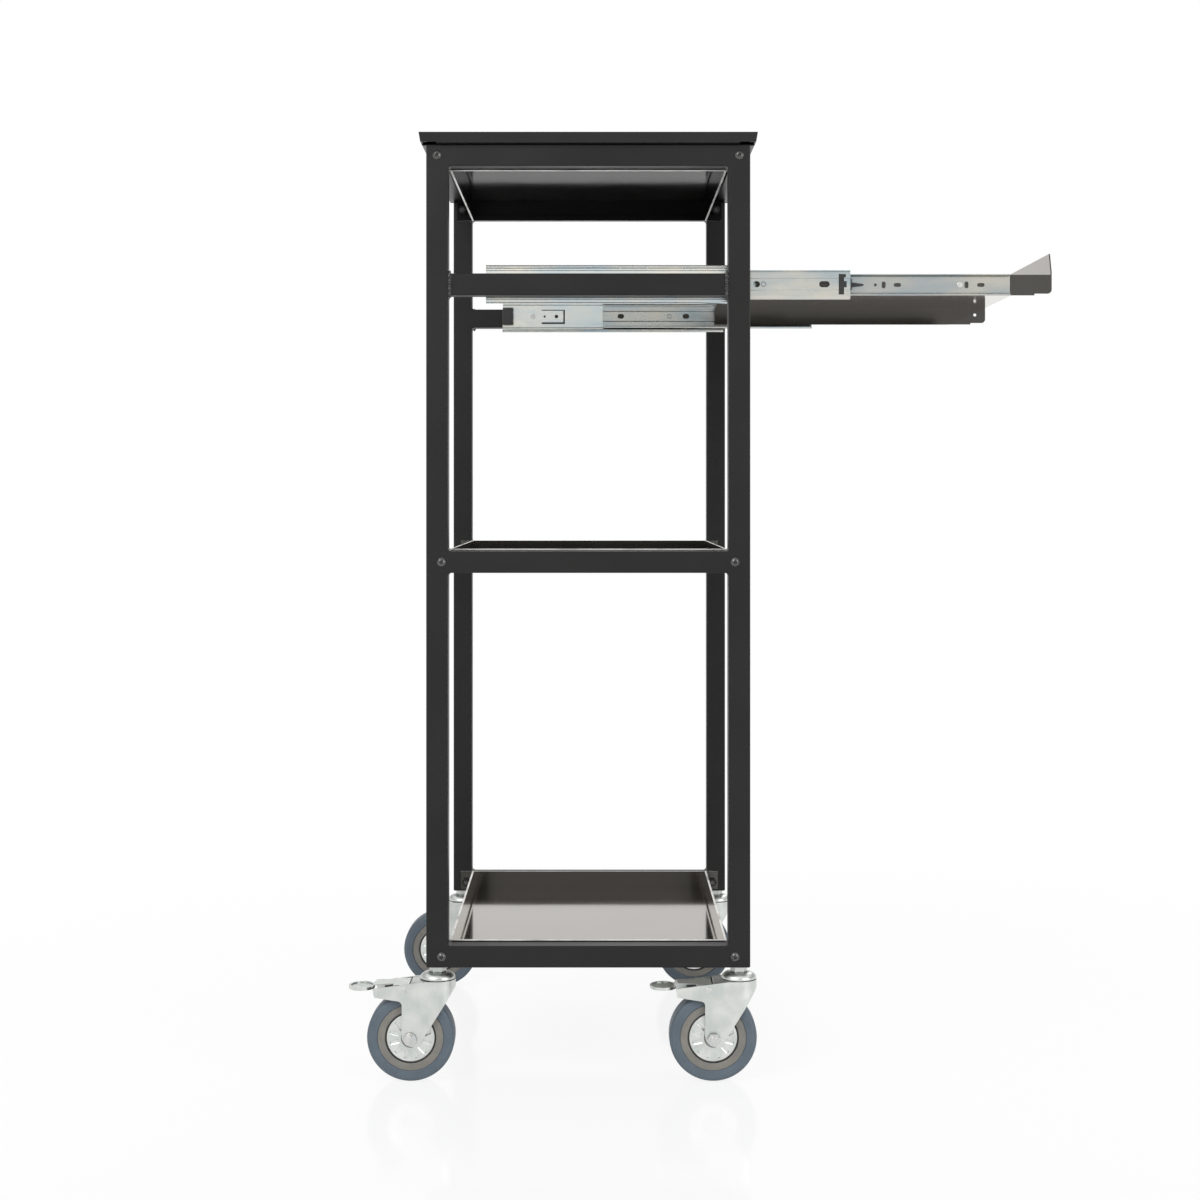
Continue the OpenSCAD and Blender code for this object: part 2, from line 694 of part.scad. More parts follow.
// The fork seen from above, t inside its outer faces. The sides bend in to meet the round front.
module fork_plan(t) {
    r = crown_r - t;
    y = fork_y - t;
    a = atan2(y, -fork_bend) - acos(r / norm([fork_bend, y]));
    circle(r = r);
    polygon([[-trail - 60 - t, -y], [-fork_bend, -y], [r * cos(a), -r * sin(a)],
        [r * cos(a), r * sin(a)], [-fork_bend, y], [-trail - 60 - t, y]]);
}

module fork(side, end, braked) {
    color(zinc) caster(side, end) difference() {
        union() {
            intersection() {
                along_y(-fork_y, 2 * fork_y) polygon(fork_outline(braked));
                linear_extrude(crown_top) difference() {
                    fork_plan(0);
                    fork_plan(fork_sheet);
                }
            }
            translate([0, 0, crown_z]) linear_extrude(fork_sheet) intersection() {
                fork_plan(0);
                union() {
                    circle(r = crown_r);
                    translate([-13.6, -fork_y]) square([13.6, 2 * fork_y]);
                }
            }
        }
        translate([0, 0, crown_z - cut]) cylinder(r = king_r + turn_clear, h = fork_sheet + 2 * cut);
        y_rod(-trail, -fork_y - cut, axle_z, axle_d / 2, 2 * fork_y + 2 * cut);
        if (braked) y_rod(pin_x, -fork_y - cut, pin_z, pin_r, 2 * fork_y + 2 * cut);
    }
}

// The axle is a bolt with a nut, and a sleeve between the fork's legs that the wheel turns on.
module axle(side, end) {
    head_first = end == REAR;
    color(steel) caster(side, end) translate([-trail, 0, axle_z]) {
        y_rod(0, -fork_y - 6, 0, axle_d / 2, 2 * fork_y + 12);
        difference() {
            y_rod(0, -fork_gap / 2, 0, sleeve_r, fork_gap);
            y_rod(0, -fork_y, 0, axle_d / 2, 2 * fork_y);
        }
        for (s = [-1, 1]) if ((s < 0) == head_first) {
            y_rod(0, s < 0 ? -fork_y - 4 : fork_y, 0, 7.2, 4);
            y_rod(0, s < 0 ? -fork_y - 6 : fork_y + 4, 0, 5.2, 2);
        } else difference() {
            translate([0, s < 0 ? -fork_y - 5.5 : fork_y, 0]) rotate([-90, 0, 0])
                cylinder(d = 13 / cos(30), h = 5.5, $fn = 6);
            y_rod(0, -fork_y - 10, 0, axle_d / 2, 2 * fork_y + 20);
        }
    }
}

// Turns a profile given as [radius, distance from the wheel's middle plane] round the axle.
module wheel_turned(side, end, profile) {
    caster(side, end) translate([-trail, 0, axle_z]) rotate([90, 0, 0])
        rotate_extrude($fn = 128) polygon(profile);
}

disc_seat = tyre_w / 2 - 3;

module core(side, end) {
    hub = fork_gap / 2 - 0.5;
    half = [[sleeve_r + turn_clear, hub], [10.5, hub], [10.5, disc_seat], [disc_r, disc_seat],
        [disc_r, disc_seat - 2], [disc_r + 1.5, disc_seat - 2], [disc_r + 1.5, disc_seat + 1.8],
        [disc_r + 2.3, disc_seat + 2.4], [core_r, disc_seat + 2]];
    n = len(half);
    color(core_grey) wheel_turned(side, end,
        concat(half, [for (i = [n - 1 : -1 : 0]) [half[i][0], -half[i][1]]]));
}

module tyre(side, end) {
    r = wheel_d / 2;
    w = tyre_w / 2;
    half = concat([[core_r, w - 0.8], [core_r + 0.8, w]], arc(r - 5, w - 5, 5, 90, 14, 6),
        [[r, w - 8]]);
    n = len(half);
    color(tyre_grey) wheel_turned(side, end,
        concat(half, [for (i = [n - 1 : -1 : 0]) [half[i][0], -half[i][1]]]));
}

// Two pressed discs close the core's sides. Shallow flutes run out from the hub.
module discs(side, end) {
    color(zinc) caster(side, end) translate([-trail, 0, axle_z])
        for (s = [-1, 1]) rotate([90 * s, 0, 0]) difference() {
            rotate_extrude($fn = 96) polygon([[10.6, disc_seat], [10.6, disc_seat + 3.6],
                [14, disc_seat + 3.4], [disc_r - 2, disc_seat + 1.6], [disc_r, disc_seat + 1],
                [disc_r, disc_seat]]);
            for (i = [0 : 11]) rotate(30 * i + 15) translate([14, 0, disc_seat + 5.8])
                rotate([0, 98, 0]) cylinder(r = 3.4, h = disc_r - 17);
        }
}

// The wheel's circle, with a running gap, as the brake meets it when the pedal is down.
shoe_gap = 0.5;
function unturned(p) = let (dx = p[0] - pin_x, dz = p[1] - pin_z)
    [pin_x + dx * cos(pedal_swing) + dz * sin(pedal_swing),
     pin_z - dx * sin(pedal_swing) + dz * cos(pedal_swing)];
shoe_face = [for (a = [111 : 3 : 123])
    unturned([-trail + (wheel_d / 2 + shoe_gap) * cos(a), axle_z + (wheel_d / 2 + shoe_gap) * sin(a)])];

plate_z = pin_z + 4.2; // underside of the pedal's plate
pedal_t = 2;

module pedal(end) {
    ear_y = fork_gap / 2 - 0.4;
    tip = pin_x - pedal_len;
    color(zinc) caster(LEFT, end) difference() {
        union() {
            translate([pin_x - 14, -ear_y, plate_z]) cube([18, 2 * ear_y, pedal_t]);
            along_y(-neck_w / 2, neck_w) polygon([
                [pin_x, plate_z], [pin_x, plate_z + pedal_t],
                [pin_x - 35, plate_z + pedal_t], [pin_x - 40, pin_z + 1.2],
                [pin_x - 46, pin_z + 1.2], [pin_x - 46, pin_z + 1.2 - pedal_t],
                [pin_x - 41, pin_z + 1.2 - pedal_t], [pin_x - 36, plate_z]]);
            for (s = [-1, 1])
                translate([0, s * (ear_y - 1.1), 0]) along_y(-1.1, 2.2) polygon([
                    [pin_x - 14, plate_z + 0.5], [pin_x - 14, pin_z + 2], [pin_x - 4, pin_z - 4],
                    [pin_x + 4, pin_z - 4], [pin_x + 4, plate_z + 0.5]]);
            translate([tip + 15, 0, pin_z + 1.2 - pedal_t]) {
                linear_extrude(pedal_t) foot_outline(0);
                difference() {
                    linear_extrude(pedal_t + 1.4) foot_outline(0);
                    linear_extrude(pedal_t + 3) foot_outline(2.5);
                }
            }
        }
        y_rod(pin_x, -fork_y, pin_z, pin_r + turn_clear, 2 * fork_y);
    }
}

module foot_outline(inset) {
    polygon([for (i = [0 : 35])
        [(15 - inset) * cos(10 * i), (pedal_w / 2 - inset) * sin(10 * i)]]);
}

module brake_shoe(end) {
    n = len(shoe_face);
    color(plastic) caster(LEFT, end) along_y(-10, 20) polygon(concat(
        shoe_face, [[shoe_face[n - 1][0], plate_z], [shoe_face[0][0], plate_z]]));
}

module pedal_pin(end) {
    color(steel) caster(LEFT, end) {
        y_rod(pin_x, -fork_y - 0.6, pin_z, pin_r, 2 * fork_y + 1.2);
        for (s = [-1, 1]) y_rod(pin_x, s * (fork_y + 0.3) - 0.3, pin_z, pin_r + 0.9, 0.6);
    }
}

posts(LEFT);  // left_posts
rails(LEFT);  // left_rails
posts(RIGHT);  // right_posts
rails(RIGHT);  // right_rails
worktop();
worktop_channels();
top_pan();
middle_shelf();
bottom_shelf();
frame_screws();
weld_nuts();
post_inserts();
caster_stems();
swivel_cups();
swivel_balls();
outer_rail(LEFT);  // left_outer_rail
outer_rail(RIGHT);  // right_outer_rail
slide_bumpers();
slide_rivets();
middle_rail(LEFT);  // left_middle_rail
middle_rail(RIGHT);  // right_middle_rail
front_stop(LEFT);  // left_front_stop
front_stop(RIGHT);  // right_front_stop
outer_cage(LEFT);  // left_outer_cage
outer_cage(RIGHT);  // right_outer_cage
inner_cage(LEFT);  // left_inner_cage
inner_cage(RIGHT);  // right_inner_cage
tray();
inner_rail(LEFT);  // left_inner_rail
inner_rail(RIGHT);  // right_inner_rail
tray_rivets();
release_lever(LEFT);  // left_release_lever
release_lever(RIGHT);  // right_release_lever
fork(LEFT, REAR, true);  // left_rear_fork
axle(LEFT, REAR);  // left_rear_axle
core(LEFT, REAR);  // left_rear_core
discs(LEFT, REAR);  // left_rear_discs
tyre(LEFT, REAR);  // left_rear_tyre
fork(LEFT, FRONT, true);  // left_front_fork
axle(LEFT, FRONT);  // left_front_axle
core(LEFT, FRONT);  // left_front_core
discs(LEFT, FRONT);  // left_front_discs
tyre(LEFT, FRONT);  // left_front_tyre
fork(RIGHT, REAR, false);  // right_rear_fork
axle(RIGHT, REAR);  // right_rear_axle
core(RIGHT, REAR);  // right_rear_core
discs(RIGHT, REAR);  // right_rear_discs
tyre(RIGHT, REAR);  // right_rear_tyre
fork(RIGHT, FRONT, false);  // right_front_fork
axle(RIGHT, FRONT);  // right_front_axle
core(RIGHT, FRONT);  // right_front_core
discs(RIGHT, FRONT);  // right_front_discs
tyre(RIGHT, FRONT);  // right_front_tyre
pedal(REAR);  // left_rear_pedal
brake_shoe(REAR);  // left_rear_brake_shoe
pedal_pin(REAR);  // left_rear_pedal_pin
pedal(FRONT);  // left_front_pedal
brake_shoe(FRONT);  // left_front_brake_shoe
pedal_pin(FRONT);  // left_front_pedal_pin
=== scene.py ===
"""Laptop cart: two side frames of square tube, three folded pans, a worktop, a pull-out tray on
ball-bearing slides and four swivel casters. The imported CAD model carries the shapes. This script
gives each piece its finish, adds the thin trim, and lights it as in the photograph. Lengths are
in metres."""
import math

import bpy
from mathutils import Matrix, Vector


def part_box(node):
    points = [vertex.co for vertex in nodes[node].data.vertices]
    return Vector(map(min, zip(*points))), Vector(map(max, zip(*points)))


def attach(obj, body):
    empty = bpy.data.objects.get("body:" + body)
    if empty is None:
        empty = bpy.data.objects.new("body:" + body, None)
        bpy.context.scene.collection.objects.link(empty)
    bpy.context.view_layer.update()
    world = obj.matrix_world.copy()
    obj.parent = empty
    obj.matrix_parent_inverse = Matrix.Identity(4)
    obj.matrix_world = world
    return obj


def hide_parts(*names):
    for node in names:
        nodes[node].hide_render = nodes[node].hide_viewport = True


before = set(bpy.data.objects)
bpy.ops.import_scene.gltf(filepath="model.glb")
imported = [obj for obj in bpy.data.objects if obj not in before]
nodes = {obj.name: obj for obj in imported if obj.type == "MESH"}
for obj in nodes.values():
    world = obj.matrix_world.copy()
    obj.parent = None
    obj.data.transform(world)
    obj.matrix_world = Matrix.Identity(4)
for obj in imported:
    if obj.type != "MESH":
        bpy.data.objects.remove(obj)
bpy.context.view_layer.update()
bpy.ops.object.select_all(action="DESELECT")

# The camera stands level beside the cart's left side, half way up, with a shifted view.
# Its place and focal length come from the near and far side frames in the photograph.
# FRAME_X is the middle of the side frames along the cart.
low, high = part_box("left_posts")
FRAME_X = (low[0] + high[0]) / 2
camera_data = bpy.data.cameras.new("camera")
camera_data.sensor_width = 36
camera_data.lens = 64.17
camera_data.shift_x = 0.00425
camera_data.shift_y = -0.0875
camera_data.clip_end = 60
camera = bpy.data.objects.new("camera", camera_data)
camera.location = (FRAME_X + 0.0076, -2.69, 0.6685)
camera.rotation_euler = (math.radians(90), 0, 0)
bpy.context.collection.objects.link(camera)
bpy.context.scene.camera = camera

bpy.context.scene.view_settings.view_transform = "Standard"

# A white studio. To the eye the world is plain white. In reflections it is white too, with the
# grey of a ceiling between the backdrop and the lights over the cart. It lights softly.
# The ceiling's ramp runs from level or below, at 0, to straight up, at 1.
world = bpy.data.worlds.new("studio")
bpy.context.scene.world = world
world.use_nodes = True
wn, wl = world.node_tree.nodes, world.node_tree.links
wn.clear()
world_out = wn.new("ShaderNodeOutputWorld")
seen = wn.new("ShaderNodeBackground")
seen.inputs["Color"].default_value = (1, 1, 1, 1)
seen.inputs["Strength"].default_value = 1.0
lighting = wn.new("ShaderNodeBackground")
lighting.inputs["Color"].default_value = (1, 1, 1, 1)
lighting.inputs["Strength"].default_value = 0.55
mirrored = wn.new("ShaderNodeBackground")
mirrored.inputs["Strength"].default_value = 1.0
direction = wn.new("ShaderNodeTexCoord")
height = wn.new("ShaderNodeSeparateXYZ")
ceiling = wn.new("ShaderNodeValToRGB")
ceiling.color_ramp.elements[0].position = 0.0
ceiling.color_ramp.elements[0].color = (0.86, 0.86, 0.86, 1)
ceiling.color_ramp.elements[1].position = 0.27
ceiling.color_ramp.elements[1].color = (0.92, 0.92, 0.92, 1)
for position, grey in ((0.36, 0.34), (0.54, 0.30), (0.64, 0.95), (1.0, 1.0)):
    ceiling.color_ramp.elements.new(position).color = (grey, grey, grey, 1)
wl.new(direction.outputs["Generated"], height.inputs[0])
wl.new(height.outputs["Z"], ceiling.inputs[0])
wl.new(ceiling.outputs[0], mirrored.inputs["Color"])
path = wn.new("ShaderNodeLightPath")
glossy_mix = wn.new("ShaderNodeMixShader")
wl.new(path.outputs["Is Glossy Ray"], glossy_mix.inputs[0])
wl.new(lighting.outputs[0], glossy_mix.inputs[1])
wl.new(mirrored.outputs[0], glossy_mix.inputs[2])
world_mix = wn.new("ShaderNodeMixShader")
wl.new(path.outputs["Is Camera Ray"], world_mix.inputs[0])
wl.new(glossy_mix.outputs[0], world_mix.inputs[1])
wl.new(seen.outputs[0], world_mix.inputs[2])
wl.new(world_mix.outputs[0], world_out.inputs["Surface"])

# A polished white floor. It shows white by itself, mirrors the casters faintly and takes a
# soft shadow. The shadow and the mirror image fade out between 0.4 m and 1.7 m from the middle.


def feed(tree, socket, value):
    """Links another node's output into an input, or sets the input to a plain value."""
    if isinstance(value, bpy.types.NodeSocket):
        tree.links.new(value, socket)
    else:
        socket.default_value = value


def add_math(tree, operation, *values):
    """A Math node on one, two or three values. Returns its output."""
    node = tree.nodes.new("ShaderNodeMath")
    node.operation = operation
    for socket, value in zip(node.inputs, values):
        feed(tree, socket, value)
    return node.outputs[0]


def add_range(tree, value, start, end, target_start=0.0, target_end=1.0, kind="LINEAR"):
    """A Map Range node, which takes value from one range to another. Returns its output."""
    node = tree.nodes.new("ShaderNodeMapRange")
    node.interpolation_type = kind
    node.inputs["From Min"].default_value = start
    node.inputs["From Max"].default_value = end
    node.inputs["To Min"].default_value = target_start
    node.inputs["To Max"].default_value = target_end
    tree.links.new(value, node.inputs["Value"])
    return node.outputs[0]


bpy.ops.mesh.primitive_plane_add(size=24, location=(0, 0, -0.0006))
floor = bpy.context.object
floor.name = "floor"
floor_paint = bpy.data.materials.new("floor_white")
floor_paint.use_nodes = True
fn, fl = floor_paint.node_tree.nodes, floor_paint.node_tree.links
fn.clear()
floor_out = fn.new("ShaderNodeOutputMaterial")
floor_glow = fn.new("ShaderNodeEmission")
floor_glow.inputs["Color"].default_value = (1, 1, 1, 1)
floor_glow.inputs["Strength"].default_value = 1.0
floor_matt = fn.new("ShaderNodeBsdfDiffuse")
floor_matt.inputs["Color"].default_value = (0.97, 0.97, 0.97, 1)
floor_sheen = fn.new("ShaderNodeBsdfGlossy")
floor_sheen.inputs["Color"].default_value = (1, 1, 1, 1)
floor_sheen.inputs["Roughness"].default_value = 0.12
floor_path = fn.new("ShaderNodeLightPath")
floor_eye = add_math(floor_paint.node_tree, "MAXIMUM", floor_path.outputs["Is Camera Ray"],
                     floor_path.outputs["Is Glossy Ray"])
floor_place = fn.new("ShaderNodeTexCoord")
floor_reach = fn.new("ShaderNodeVectorMath")
floor_reach.operation = "LENGTH"
fl.new(floor_place.outputs["Object"], floor_reach.inputs[0])
floor_fade = add_range(floor_paint.node_tree, floor_reach.outputs["Value"], 0.4, 1.7, 0.86, 1.0,
                       kind="SMOOTHSTEP")
floor_share = add_math(floor_paint.node_tree, "MULTIPLY", floor_eye, floor_fade)
floor_polish = fn.new("ShaderNodeMixShader")
floor_polish.inputs[0].default_value = 0.45
fl.new(floor_matt.outputs[0], floor_polish.inputs[1])
fl.new(floor_sheen.outputs[0], floor_polish.inputs[2])
floor_mix = fn.new("ShaderNodeMixShader")
fl.new(floor_share, floor_mix.inputs[0])
fl.new(floor_polish.outputs[0], floor_mix.inputs[1])
fl.new(floor_glow.outputs[0], floor_mix.inputs[2])
fl.new(floor_mix.outputs[0], floor_out.inputs["Surface"])
floor.data.materials.append(floor_paint)
bpy.ops.object.select_all(action="DESELECT")

# Three large soft lamps light the cart. Seen from the camera, the key stands on the left, the
# fill on the right, and the third behind the cart.


def softbox(name, place, aim, size, power):
    """A large square lamp at place that faces aim."""
    data = bpy.data.lights.new(name, "AREA")
    data.shape = "RECTANGLE"
    data.size, data.size_y = size
    data.energy = power
    lamp = bpy.data.objects.new(name, data)
    lamp.location = place
    lamp.rotation_euler = (Vector(aim) - Vector(place)).to_track_quat("-Z", "Y").to_euler()
    bpy.context.collection.objects.link(lamp)


softbox("key_lamp", (-1.9, -2.6, 2.6), (FRAME_X, 0, 0.5), (1.8, 1.8), 62)
softbox("fill_lamp", (2.2, -2.2, 1.5), (FRAME_X, 0, 0.5), (1.6, 2.0), 34)
softbox("back_lamp", (0.4, 2.6, 2.4), (FRAME_X, 0, 0.6), (2.2, 1.4), 30)

# Side frames: 25 mm square steel tube with rounded corners. Two posts and four rails are welded
# into each frame, ground flush so that no seam shows, and powder-coated in satin black.
# The coat has a very fine orange peel. The ends of the posts are open.


def shader_of(material):
    """The Principled shader of a material."""
    return material.node_tree.nodes["Principled BSDF"]


def paint(name, colour, roughness, metallic=0.0):
    """A new material with a Principled shader."""
    material = bpy.data.materials.new(name)
    material.use_nodes = True
    shader = shader_of(material)
    shader.inputs["Base Color"].default_value = (*colour, 1)
    shader.inputs["Roughness"].default_value = roughness
    shader.inputs["Metallic"].default_value = metallic
    return material


def add_noise(tree, scale, detail, stretch=(1, 1, 1)):
    """A noise on the object's own coordinates. Returns its grey output."""
    coords = tree.nodes.new("ShaderNodeTexCoord")
    mapping = tree.nodes.new("ShaderNodeMapping")
    mapping.inputs["Scale"].default_value = stretch
    noise = tree.nodes.new("ShaderNodeTexNoise")
    noise.inputs["Scale"].default_value = scale
    noise.inputs["Detail"].default_value = detail
    tree.links.new(coords.outputs["Object"], mapping.inputs["Vector"])
    tree.links.new(mapping.outputs[0], noise.inputs["Vector"])
    return noise.outputs["Fac"]


def mottle(material, colour_a, colour_b, scale, stretch=(1, 1, 1)):
    """Colours a material with soft patches between two colours. Returns the patches' noise."""
    tree = material.node_tree
    noise = add_noise(tree, scale, 3.0, stretch)
    ramp = tree.nodes.new("ShaderNodeValToRGB")
    ramp.color_ramp.elements[0].position = 0.32
    ramp.color_ramp.elements[0].color = (*colour_a, 1)
    ramp.color_ramp.elements[1].position = 0.68
    ramp.color_ramp.elements[1].color = (*colour_b, 1)
    tree.links.new(noise, ramp.inputs[0])
    tree.links.new(ramp.outputs[0], shader_of(material).inputs["Base Color"])
    return noise


def uneven_gloss(material, noise, smooth, rough):
    """Lets the roughness run from smooth to rough with a noise that the material has."""
    tree = material.node_tree
    tree.links.new(add_range(tree, noise, 0.3, 0.7, smooth, rough),
                   shader_of(material).inputs["Roughness"])


def grain(material, scale, strength, depth, stretch=(1, 1, 1)):
    """Adds a fine surface relief of a small depth."""
    tree = material.node_tree
    bump = tree.nodes.new("ShaderNodeBump")
    bump.inputs["Strength"].default_value = strength
    bump.inputs["Distance"].default_value = depth
    tree.links.new(add_noise(tree, scale, 2.0, stretch), bump.inputs["Height"])
    tree.links.new(bump.outputs[0], shader_of(material).inputs["Normal"])


def dress(names, material, edge, segments=2):
    """Gives CAD pieces their finish and rounds their edges by a small radius. Facets that lie
    in one plane are joined first, so that the rounding runs on without a break."""
    for name in names:
        piece = nodes[name]
        piece.data.materials.clear()
        piece.data.materials.append(material)
        if edge:
            weld = piece.modifiers.new("weld", "WELD")
            weld.merge_threshold = 0.00001
            faces = piece.modifiers.new("faces", "DECIMATE")
            faces.decimate_type = "DISSOLVE"
            faces.angle_limit = math.radians(0.4)
            bevel = piece.modifiers.new("edges", "BEVEL")
            bevel.width = edge
            bevel.segments = segments
            bevel.limit_method = "ANGLE"
            bevel.angle_limit = math.radians(35)
            flats = piece.modifiers.new("flats", "WEIGHTED_NORMAL")
            flats.weight = 80
            flats.keep_sharp = True


powder_coat = paint("satin_black_powder_coat", (0.010, 0.010, 0.0098), 0.42)
shader_of(powder_coat).inputs["Specular IOR Level"].default_value = 0.27
coat_noise = mottle(powder_coat, (0.0085, 0.0085, 0.0083), (0.0120, 0.0118, 0.0116), 9)
uneven_gloss(powder_coat, coat_noise, 0.38, 0.48)
grain(powder_coat, 900, 0.10, 0.0002)
TUBE = 0.025
HALF_WIDTH = 0.250
# The lines where tubes begin and end: along the cart from the frame's middle, and in height.
POST_LINES = (-0.185, -0.160, 0.160, 0.185)
RAIL_LINES = (0.129, 0.154, 0.5795, 0.6045, 0.8965, 0.9215, 1.044, 1.069)
POST_INNER = POST_LINES[2]
CORNER_FILLET = 0.0038
TUBE_ROUNDING = 0.0018
POST_END_INSET = 0.0003
POST_END_DEPTH = 0.008


def clear_selection(mesh):
    """Deselects all of a mesh, in object mode."""
    for item in (*mesh.vertices, *mesh.edges, *mesh.polygons):
        item.select = False


def select_faces(mesh, wanted):
    """Selects the faces that pass the test, in object mode, and nothing else."""
    clear_selection(mesh)
    for face in mesh.polygons:
        face.select = wanted(face)


def select_inner_corners(mesh):
    """Selects the level edges across the tube in the corners between posts and rails."""
    clear_selection(mesh)
    for edge in mesh.edges:
        a, b = (mesh.vertices[index].co for index in edge.vertices)
        edge.select = (abs(a.y - b.y) > 0.02
                       and abs(abs(a.x - FRAME_X) - POST_INNER) < 0.001
                       and RAIL_LINES[0] + 0.001 < a.z < RAIL_LINES[-1] - 0.001)


for side, outer_y in (("left", -HALF_WIDTH), ("right", HALF_WIDTH - TUBE)):
    bpy.ops.mesh.primitive_grid_add(x_subdivisions=3, y_subdivisions=7, size=1)
    side_frame = bpy.context.object
    side_frame.name = f"{side}_side_frame"
    for corner in side_frame.data.vertices:
        column = POST_LINES[round((corner.co.x + 0.5) * 3)]
        row = RAIL_LINES[round((corner.co.y + 0.5) * 7)]
        corner.co = (FRAME_X + column, outer_y, row)
    bpy.ops.object.mode_set(mode="EDIT")
    bpy.ops.mesh.select_mode(type="FACE")
    bpy.ops.object.mode_set(mode="OBJECT")
    # The openings between the posts are wide, and larger than 0.02 square metres.
    select_faces(side_frame.data, lambda face: abs(face.center.x - FRAME_X) < 0.1
                 and face.area > 0.02)
    bpy.ops.object.mode_set(mode="EDIT")
    bpy.ops.mesh.delete(type="FACE")
    bpy.ops.mesh.select_all(action="SELECT")
    bpy.ops.mesh.extrude_region_move(TRANSFORM_OT_translate={"value": (0, TUBE, 0)})
    bpy.ops.mesh.select_all(action="SELECT")
    bpy.ops.mesh.normals_make_consistent(inside=False)
    bpy.ops.mesh.select_mode(type="EDGE")
    bpy.ops.object.mode_set(mode="OBJECT")
    select_inner_corners(side_frame.data)
    bpy.ops.object.mode_set(mode="EDIT")
    bpy.ops.mesh.bevel(offset=CORNER_FILLET, segments=4)
    bpy.ops.mesh.select_mode(type="FACE")
    bpy.ops.object.mode_set(mode="OBJECT")
    rounding = side_frame.modifiers.new("rounding", "BEVEL")
    rounding.width = TUBE_ROUNDING
    rounding.segments = 3
    rounding.limit_method = "ANGLE"
    rounding.angle_limit = math.radians(35)
    bpy.ops.object.modifier_apply(modifier="rounding")
    # The flat ends of the posts are set in and sunk, which leaves the tube's wall.
    select_faces(side_frame.data, lambda face: abs(face.normal.z) > 0.99 and face.area > 0.0002
                 and abs(face.center.x - FRAME_X) > POST_INNER + 0.005
                 and not RAIL_LINES[0] + 0.0005 <= face.center.z <= RAIL_LINES[-1] - 0.0005)
    bpy.ops.object.mode_set(mode="EDIT")
    bpy.ops.mesh.inset(thickness=POST_END_INSET, use_individual=True)
    bpy.ops.mesh.extrude_faces_move(TRANSFORM_OT_shrink_fatten={"value": -POST_END_DEPTH})
    bpy.ops.mesh.select_all(action="DESELECT")
    bpy.ops.object.mode_set(mode="OBJECT")
    bpy.ops.object.shade_smooth_by_angle(angle=math.radians(40))
    side_frame.modifiers.new("flats", "WEIGHTED_NORMAL").weight = 80
    bpy.ops.object.modifier_apply(modifier="flats")
    side_frame.data.materials.append(powder_coat)
    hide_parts(f"{side}_posts", f"{side}_rails")
    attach(side_frame, "cart")
    bpy.ops.object.select_all(action="DESELECT")
dress(("worktop_channels",), powder_coat, 0.0003)

# Weld beads: the tray rails are the last to be welded in, and their beads on the outer face are
# left as laid. Each bead is a low ridge of overlapping ripples, coated with the frame. Its colour
# is lighter and patchy, a painted highlight on the ripples.
bead_coat = paint("powder_coat_on_weld", (0.016, 0.016, 0.0155), 0.26)
bead_noise = mottle(bead_coat, (0.011, 0.011, 0.0108), (0.026, 0.026, 0.025), 500)
uneven_gloss(bead_coat, bead_noise, 0.20, 0.34)
SEAM_X = POST_INNER - 0.002
BEAD_Z = (RAIL_LINES[4] + RAIL_LINES[5]) / 2
BEAD_RADIUS = 0.0026
BEAD_LENGTH = 0.031
BEAD_TIP = 0.0157
BEAD_WIDEN = 1.1
BEAD_FLATTEN = 0.8
RIPPLE_CUTS = 19
RIPPLE_STEP = 0.00078
for side, face_y in (("left", -HALF_WIDTH), ("right", HALF_WIDTH)):
    for end, seam_x in (("rear", -SEAM_X), ("front", SEAM_X)):
        bpy.ops.mesh.primitive_cylinder_add(
            vertices=18, radius=BEAD_RADIUS, depth=BEAD_LENGTH, end_fill_type="TRIFAN",
            location=(FRAME_X + seam_x, face_y, BEAD_Z))
        bead = bpy.context.object
        bead.name = f"{side}_{end}_weld_bead"
        bpy.ops.object.transform_apply(location=True)
        bpy.ops.object.mode_set(mode="EDIT")
        for cut in range(-RIPPLE_CUTS, RIPPLE_CUTS + 1):
            bpy.ops.mesh.select_all(action="SELECT")
            bpy.ops.mesh.bisect(plane_co=(0, 0, BEAD_Z + cut * RIPPLE_STEP), plane_no=(0, 0, 1))
        bpy.ops.object.mode_set(mode="OBJECT")
        for point in bead.data.vertices:
            up = point.co.z - BEAD_Z
            # Ripples about 4 mm apart, unevenly, and a taper to both tips
            ripple = 0.80 + 0.20 * math.sin(up * 1500 + 2.4 * math.sin(up * 310))
            taper = math.sqrt(max(0.03, 1 - (up / BEAD_TIP) ** 4))
            out_x = point.co.x - FRAME_X - seam_x
            out_y = point.co.y - face_y
            point.co.x = FRAME_X + seam_x + out_x * ripple * taper * BEAD_WIDEN
            point.co.y = face_y + out_y * ripple * taper * BEAD_FLATTEN
        bpy.ops.object.shade_smooth_by_angle(angle=math.radians(60))
        bead.data.materials.append(bead_coat)
        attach(bead, "cart")
        bpy.ops.object.select_all(action="DESELECT")

# Shelf pans and tray: folded steel sheet with a smooth gloss black enamel that mirrors the
# white room at a shallow angle. The folded edges of the pans carry a painted highlight, a bright
# colour along the fold.
enamel = paint("gloss_black_enamel", (0.012, 0.012, 0.012), 0.13)
enamel_shader = shader_of(enamel)
enamel_shader.inputs["Coat Weight"].default_value = 1.0
enamel_shader.inputs["Coat Roughness"].default_value = 0.07
enamel_shader.inputs["Specular IOR Level"].default_value = 0.6
enamel_shader.inputs["Specular Tint"].default_value = (1, 0.96, 0.9, 1)
enamel_shader.inputs["Coat Tint"].default_value = (1, 0.95, 0.87, 1)
enamel_noise = mottle(enamel, (0.011, 0.011, 0.011), (0.015, 0.015, 0.0145), 5)
uneven_gloss(enamel, enamel_noise, 0.09, 0.16)
grain(enamel, 14, 0.05, 0.004)
dress(("tray",), enamel, 0.0006, 3)
RIM_HEIGHT = 0.0012
